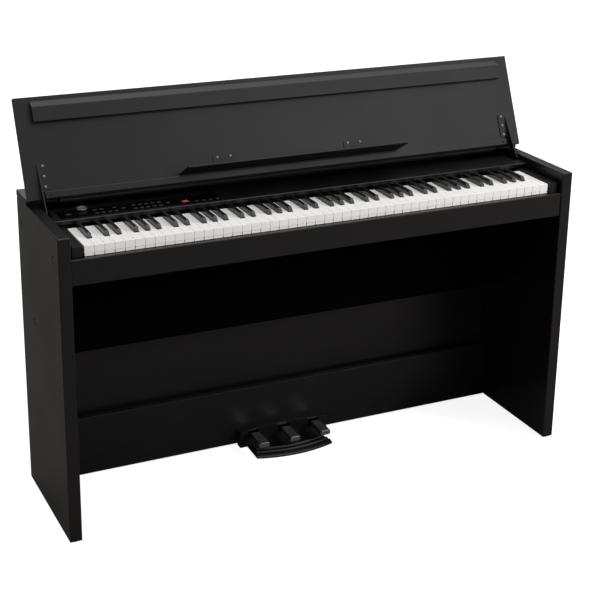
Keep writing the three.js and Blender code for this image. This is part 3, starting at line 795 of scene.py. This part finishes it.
def volume_knob():
    """A silver ring that widens upwards, on a black foot, with a dished black top and a pointer."""
    low, high = corners("volume_knob")
    middle = (low + high) / 2
    centre = (middle.x, middle.y, high.z - KNOB_HEIGHT)
    radius = (high.x - low.x) / 2
    bm = bmesh.new()
    skirt = radius - 1.6
    add_turned(bm, [(3.0, -8.5), (3.0, 0.1), (skirt, 0.1), (skirt, 1.6), (2.0, 1.6)], centre, 64)
    foot = make("volume_knob_foot", bm, "black_plastic", "volume_knob", 0.2)
    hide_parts("volume_knob")
    segments, ridges = 216, 54
    profile = [(0.86, 2.0), (0.885, 2.4), (0.905, 2.9), (0.985, 6.2), (1.0, 6.9), (0.985, 7.3), (0.95, 7.5),
               (0.89, 7.4), (0.87, 6.9)]
    rings = []
    for share, rise in profile:
        flute = 0.018 if 2.6 < rise < 6.5 else 0.0
        ring = []
        for i in range(segments):
            angle = 2 * math.pi * i / segments
            reach = radius * share * (1 - flute * (0.5 + 0.5 * math.cos(ridges * angle)))
            ring.append((centre[0] + reach * math.cos(angle), centre[1] + reach * math.sin(angle),
                         centre[2] + rise * KNOB_RISE))
        rings.append(ring)
    bm = bmesh.new()
    add_rings(bm, rings)
    make("volume_knob_ring", bm, "silver_plastic", "volume_knob")
    bm = bmesh.new()
    dish = [(radius * 0.86, 5.5), (radius * 0.86, 7.0), (radius * 0.8, 7.05), (radius * 0.6, 6.75),
            (radius * 0.3, 6.6), (0.5, 6.55)]
    add_turned(bm, [(reach, rise * KNOB_RISE) for reach, rise in dish], centre, 96)
    make("volume_knob_dish", bm, "black_plastic", "volume_knob", material=DISH)
    bm = bmesh.new()
    add_box(bm, centre[0] - 0.6, centre[0] + 0.6, centre[1] + radius * 0.35, centre[1] + radius * 0.75,
            centre[2] + 6.6 * KNOB_RISE, centre[2] + 7.2 * KNOB_RISE)
    make("volume_pointer", bm, "silver_plastic", "volume_knob", 0.1)


def plate_with_windows(bm, x0, x1, y0, y1, z0, z1, windows):
    """A flat plate with rectangular windows, made of the cells between the windows' edges."""
    xs = sorted({x0, x1, *(x for w in windows for x in w[:2])})
    ys = sorted({y0, y1, *(y for w in windows for y in w[2:])})

    def solid(i, j):
        if not (0 <= i < len(xs) - 1 and 0 <= j < len(ys) - 1):
            return False
        x, y = (xs[i] + xs[i + 1]) / 2, (ys[j] + ys[j + 1]) / 2
        return not any(a < x < b and c < y < d for a, b, c, d in windows)

    verts = {}

    def vert(i, j, z):
        key = (i, j, z)
        if key not in verts:
            verts[key] = bm.verts.new((xs[i], ys[j], z))
        return verts[key]

    for i in range(len(xs) - 1):
        for j in range(len(ys) - 1):
            if not solid(i, j):
                continue
            for z in (z0, z1):
                bm.faces.new((vert(i, j, z), vert(i + 1, j, z), vert(i + 1, j + 1, z), vert(i, j + 1, z)))
            sides = (((0, -1), ((i, j), (i + 1, j))), ((1, 0), ((i + 1, j), (i + 1, j + 1))),
                     ((0, 1), ((i + 1, j + 1), (i, j + 1))), ((-1, 0), ((i, j + 1), (i, j))))
            for (di, dj), (a, b) in sides:
                if not solid(i + di, j + dj):
                    bm.faces.new((vert(*a, z0), vert(*b, z0), vert(*b, z1), vert(*a, z1)))


WINDOW_GAP = 0.4  # round a button
SHAFT_GAP = 3.4  # from the knob's axis
FILM_EDGES = (-619, -222, 12, 68)  # left, right, and front and back from the panel's front edge


def overlay():
    """The glossy film round the buttons."""
    low, high = corners("control_panel")
    half_length = CAP_LENGTH / 2 + WINDOW_GAP
    half_width = CAP_WIDTH / 2 + WINDOW_GAP
    windows = []
    for spots in BUTTONS.values():
        for x, depth in spots:
            y = low.y + depth
            windows.append((x - half_length, x + half_length, y - half_width, y + half_width))
    for node, margin in (("display_window", 0.3), ("power_button", -1.6)):
        a, b = corners(node)
        windows.append((a.x - margin, b.x + margin, a.y - margin, b.y + margin))
    knob = (corners("volume_knob")[0] + corners("volume_knob")[1]) / 2
    windows.append((knob.x - SHAFT_GAP, knob.x + SHAFT_GAP, knob.y - SHAFT_GAP, knob.y + SHAFT_GAP))
    left, right, front, back = FILM_EDGES
    bm = bmesh.new()
    plate_with_windows(bm, left, right, low.y + front, low.y + back, high.z + 0.05, high.z + 0.25, windows)
    make("panel_overlay", bm, "black_plastic", "cabinet", material=FILM)


SEGMENTS = {"1": "bc", "2": "abged", "0": "abcdef"}
BAR_THICKNESS = 0.9


def segment_bar(bm, x, y, z, length, across):
    half, tip = length / 2, BAR_THICKNESS / 2
    inner = half - tip
    points = [(-half, 0), (-inner, tip), (inner, tip), (half, 0), (inner, -tip), (-inner, -tip)]
    outline = [(x + a, y + b) if across else (x + b, y + a) for a, b in points]
    add_prism(bm, outline, "z", z, z + 0.12)


def display():
    """Three seven-segment figures under the dark window, showing a tempo."""
    low, high = corners("display_window")
    refine("display_window", 0.3)
    wide, tall, pitch = 3.2, 6.0, 6.6
    middle = (low + high) / 2
    for i, figure in enumerate("120"):
        x = middle.x + (i - 1) * pitch
        bm = bmesh.new()
        places = {"a": (0, tall, True), "g": (0, 0, True), "d": (0, -tall, True),
                  "b": (wide / 2, tall / 2, False), "c": (wide / 2, -tall / 2, False),
                  "f": (-wide / 2, tall / 2, False), "e": (-wide / 2, -tall / 2, False)}
        for letter in SEGMENTS[figure]:
            dx, dy, across = places[letter]
            length = (wide if across else tall) - 0.4
            segment_bar(bm, x + dx, middle.y + dy, high.z + 0.02, length, across)
        make(f"display_figure_{i + 1}", bm, "display_window", "cabinet", material=GLOW)


# ---- lid and ledge --------------------------------------------------------------------------
def lid():
    place = lid_place()
    for node, edge in (("lid_board", 0.9), ("lid_lip", 1.0), ("lid_strip", 2.2), ("music_ledge", 0.5),
                       ("left_ledge_hinge", 0.15), ("right_ledge_hinge", 0.15)):
        refine(node, edge, 3)
    facing = Matrix.Rotation(math.pi / 2, 4, "X")
    for side, sign in (("left", -1), ("right", 1)):
        refine(f"{side}_lid_arm", 0.3)
        for i, up in enumerate((29.5, 54, 78.5)):
            spot = place @ Matrix.Translation((sign * 631, -2.5, up)) @ facing
            screw(f"{side}_arm_screw_{i + 1}", spot, "lid", 3.6, 1.4, NICKEL)
        spot = place @ Matrix.Translation((sign * 622, -5, 10)) @ facing
        screw(f"{side}_strip_screw", spot, "lid", 3.0, 0.8, BLACKENED)
        for i, offset in enumerate((-17.5, 17.5)):
            spot = place @ Matrix.Translation((sign * 180 + offset, -1.8, 54)) @ facing
            screw(f"{side}_ledge_screw_{i + 1}", spot, "lid", 3.2, 1.2, NICKEL)


# ---- pedals ---------------------------------------------------------------------------------
def oval(x, y, z, half_width, half_height, count=40, power=6.0):
    """A rounded rectangle in the X-Z plane."""
    points = []
    for i in range(count):
        angle = 2 * math.pi * i / count
        c, s = math.cos(angle), math.sin(angle)
        points.append((x + half_width * math.copysign(abs(c) ** (2 / power), c), y,
                       z + half_height * math.copysign(abs(s) ** (2 / power), s)))
    return points


def pedal(side):
    low, high = corners(f"{side}_pedal")
    x = (low.x + high.x) / 2
    half = (high.x - low.x) / 2
    top = high.z
    length = high.y - low.y
    sections = [
        # distance from the tip, share of the width, half height, drop of the top
        (0.0, 1.02, 5.9, 0.9), (0.5, 1.08, 6.6, 0.35), (1.6, 1.12, 7.1, 0.05), (4.0, 1.13, 7.2, 0.0),
        (9.0, 1.13, 7.2, 0.0), (15.0, 1.12, 5.6, 0.0), (22.0, 1.10, 4.0, 0.0), (40.0, 1.04, 3.8, 0.0),
        (60.0, 0.96, 3.8, 0.0), (length - 2.0, 0.9, 3.8, 0.0),
    ]
    rings = [oval(x, low.y + d, top - drop - h, half * w, h) for d, w, h, drop in sections]
    bm = bmesh.new()
    add_rings(bm, rings)
    piece = make(f"{side}_pedal_lever", bm, "chrome", f"{side}_pedal")
    smooth = piece.modifiers.new("smooth", "SUBSURF")
    smooth.levels = smooth.render_levels = 1
    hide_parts(f"{side}_pedal")


def pedal_base():
    """A low moulded foot with a bowed front, a sloping rim and two raised ribs."""
    low, high = corners("pedal_base")
    bow_radius, centre_y = 330, low.y + 330
    reach = math.asin((high.x - 2) / bow_radius)
    rim = [(0, 0), (0, 3.4), (0.8, 4.4), (8, 9.4), (10.5, 10.2), (12, 10.2), (14.5, 8.0)]
    first_rib = [(16.0, 8.2), (17.4, 11.6), (18.6, 12.6), (19.8, 12.8), (21, 12.4), (22.4, 10.4), (24, 7.8)]
    second_rib = [(33.5, 7.6), (35, 8.2), (36.4, 11.6), (37.6, 12.6), (38.8, 12.8), (40, 12.4),
                  (41.4, 10.4)]
    back = [(43, 7.6), (48, 7.2)]
    profile = [*rim, *first_rib, *second_rib, *back]  # distance behind the front, height
    steps = 48
    loops = []
    for inset, height in profile:
        ring = []
        for i in range(steps + 1):
            angle = reach * (2 * i / steps - 1)
            radius = bow_radius - inset
            ring.append((radius * math.sin(angle), centre_y - radius * math.cos(angle), low.z + height))
        loops.append(ring)
    for height in (7.2, 0):
        half = high.x * 0.96
        loops.append([(half * (2 * i / steps - 1), high.y, low.z + height) for i in range(steps + 1)])
    bm = bmesh.new()
    rows = [[bm.verts.new(p) for p in ring] for ring in loops]
    count = len(rows)
    for a in range(count):
        b = (a + 1) % count
        for i in range(steps):
            bm.faces.new((rows[a][i], rows[a][i + 1], rows[b][i + 1], rows[b][i]))
    for i in (0, steps):
        bm.faces.new([r[i] for r in rows])
    piece = make("pedal_base_moulding", bm, "black_plastic", "cabinet")
    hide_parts("pedal_base")


def pedals():
    pedal_base()
    refine("pedal_housing", 1.2, 3)
    for side in ("left", "middle", "right"):
        pedal(side)


# ---- what stays as the frame made it --------------------------------------------------------
def carried_over():
    for name, node in frame["nodes"].items():
        hinge = name in ("hinge_fixed_leaf", "hinge_moving_leaf")
        node.data.materials.clear()
        node.data.materials.append(BLACKENED if hinge else LOOK[SLOT_OF[name]])


make_camera()
make_studio()
make_floor()
carried_over()
cabinet()
back_screws()
speaker_cloth()
keyboard()
overlay()
buttons()
volume_knob()
display()
lid()
pedals()
